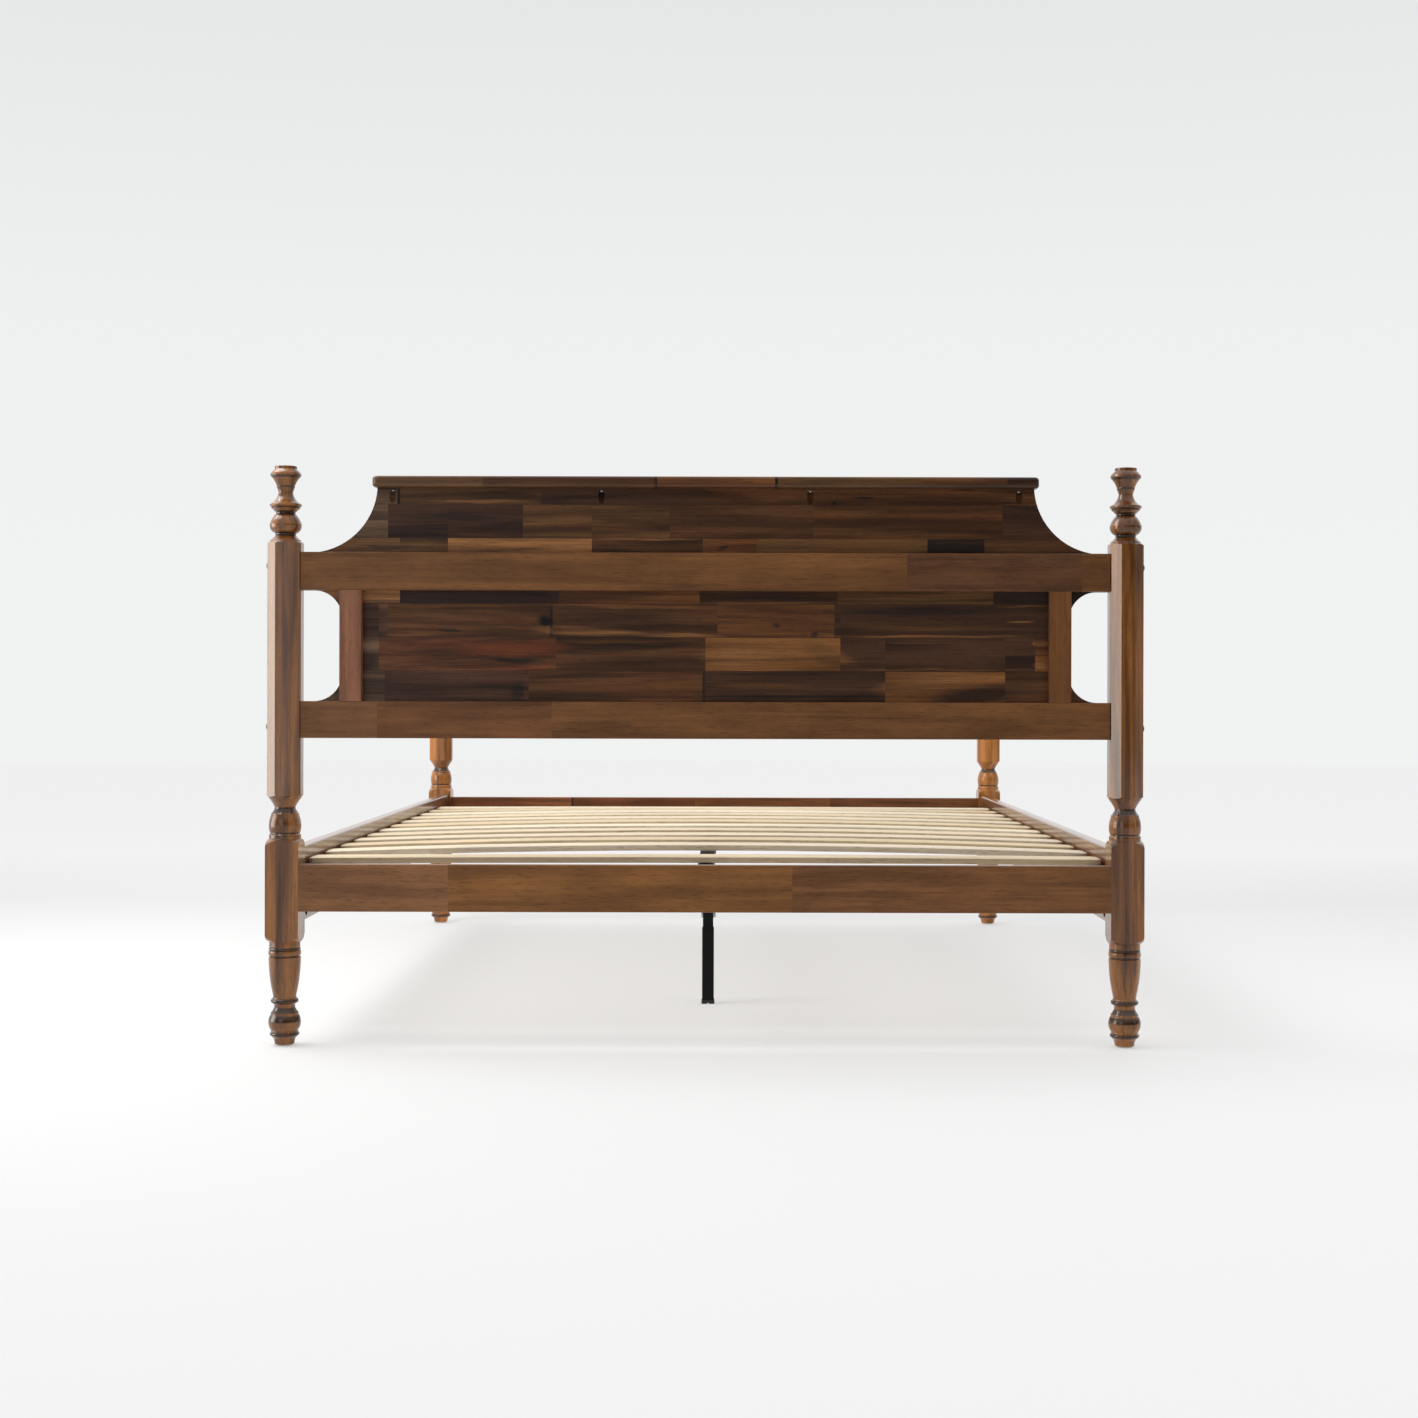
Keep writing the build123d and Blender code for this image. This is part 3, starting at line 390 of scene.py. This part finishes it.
def moulded_plastic(colour, fleck, roughness):
    """Moulded plastic: the fine grain of a spark-eroded mould, a little paler or darker in its pits."""
    def build(tree):
        grain = add(tree, "TexNoise", Vector=add(tree, "TexCoord", out="Object"), Scale=1000 / 0.8)
        shade = add(tree, "Mix", data_type="RGBA", in0=grain, in6=colour, in7=fleck, out=2)
        relief = add(tree, "Bump", Height=grain, Strength=0.3, Distance=0.0001)
        return add(tree, "BsdfPrincipled", Base_Color=shade, Roughness=roughness, IOR=1.46, Normal=relief)
    return build


def non_slip_tape(tree):
    """Black EVA foam tape: matt, with closed cells that show as fine pits."""
    cells = add(tree, "TexVoronoi", Vector=add(tree, "TexCoord", out="Object"), Scale=1000 / 1.5)
    shade = add(tree, "ValToRGB", Fac=cells, stops=[(0.0, "#151515"), (0.5, "#242424")])
    relief = add(tree, "Bump", Height=cells, Strength=0.5, Distance=0.0003)
    return add(tree, "BsdfPrincipled", Base_Color=shade, Roughness=0.85, Normal=relief)


# ---- Each piece's finish ----
# Boards as one row of lengths: each length's far end and tone, as in the panel's rows.
UPPER_RAIL = [(0, [(375, "#774e2c"), (703, "#66432a"), (720, "#744b2a")])]
LOWER_RAIL = [(0, [(-615, "#7c5334"), (-290, "#744a2b"), (720, "#764d2b")])]
HEAD_RAIL = [(0, [(-480, "#875c3c"), (160, "#87592f"), (720, "#7a5030")])]
CAP_ROWS = [(0, [(-420, NUT), (-95, CHESTNUT), (130, TOFFEE), (405, NUT), (560, CHESTNUT), (720, UMBER)])]
FOOT_ROWS = [(0, [(-410, "#7c4a2c"), (-60, "#6d4026"), (330, "#7b4c2c"), (720, "#6b4229")])]


def rows(table, streaks=None):
    """A colouring for a board glued from rows of lengths."""
    return lambda tree: staves(tree, table, streaks or {})


# The slats come from four boards, some yellower than others.
SLATS = [lacquered_wood(f"bare_pine_{tone[1:]}", "X", one_tone(tone), 0.2, 0.55)
         for tone in ("#dccab0", "#d3bd9a", "#e0d1b9", "#d7c3a4")]

# The finish of every node whose name has the key in it. The first that fits is used.
FINISHES = {
    "head_post": lacquered_wood("stained_acacia_post", "Z", one_tone("#7e5027"), 1.0, 0.26, 0.6, 0.2,
                                glaze_and_shade=post_glaze_and_shade(1085)),
    # The foot posts' paler tone is painted light: the head posts' stain made lighter for the stronger light
    # on the foot end.
    "foot_post": lacquered_wood("acacia_foot_post_painted_paler", "Z", one_tone("#a86c34"), 0.8, 0.28, 0.5, 0.2,
                                glaze_and_shade=post_glaze_and_shade(760)),
    "headboard_panel": lacquered_wood("stained_acacia_staves", "X", rows(PANEL_ROWS, PANEL_STREAKS)),
    "headboard_cap": lacquered_wood("stained_acacia_moulding", "X", rows(CAP_ROWS), 0.8, 0.3, 0.0, 0.3),
    "headboard_upper_rail": lacquered_wood("stained_acacia_top_rail", "X", rows(UPPER_RAIL), 0.4,
                                           mottle=0.22),
    "headboard_lower_rail": lacquered_wood("stained_acacia_bottom_rail", "X", rows(LOWER_RAIL), 0.4,
                                           mottle=0.22),
    # The stiles' two tones are painted light: the left stile paler with the light from the left, the right
    # one darker in painted shade.
    "stile_left": lacquered_wood("acacia_left_stile_painted_lit", "Z", one_tone("#94634a"), 0.45,
                                 mottle=0.15),
    "stile_right": lacquered_wood("acacia_right_stile_painted_shaded", "Z", one_tone("#6c4425"), 0.45,
                                  mottle=0.15),
    "head_end_rail": lacquered_wood("stained_acacia_end_rail", "X", rows(HEAD_RAIL), 0.4, mottle=0.2),
    "foot_end_rail": lacquered_wood("stained_acacia_foot_rail", "X", rows(FOOT_ROWS), 0.7),
    "side_rail": lacquered_wood("stained_acacia_side_rail", "Y", one_tone("#7a4e2c"), 0.6, 0.3, 0.6, 0.5),
    "slat_ledger": lacquered_wood("stained_ledger_strip", "Y", one_tone("#8d6a48"), 0.4, 0.5),
    **{f"slat_{number:02}": SLATS[number * 3 % 4] for number in range(1, 13)},
    "headboard_dowels": lacquered_wood("beech_dowel", "X", one_tone("#c8a276"), 0.2, 0.6),
    "anti_slip_tape": finished("black_foam_tape", non_slip_tape),
    "post_glides": finished("white_nylon_glide", moulded_plastic("#d8d6cf", "#d6d4cd", 0.45)),
    "bolt_cover_buttons": finished("brown_cover_button", moulded_plastic("#3b2418", "#2a2a2c", 0.35)),
    "centre_leg_foot": finished("black_leg_cap", moulded_plastic("#161616", "#2a2a2c", 0.5)),
    "centre_": finished("black_powder_coat", powder_coat),
    "beam_hanger": finished("black_hanger", powder_coat),
    "": finished("zinc_plated_steel", zinc_plate),
}


def finish_for(name):
    return next(finish for key, finish in FINISHES.items() if key in name)


for name, node in NODES.items():
    node.data.materials.clear()
    node.data.materials.append(finish_for(name))
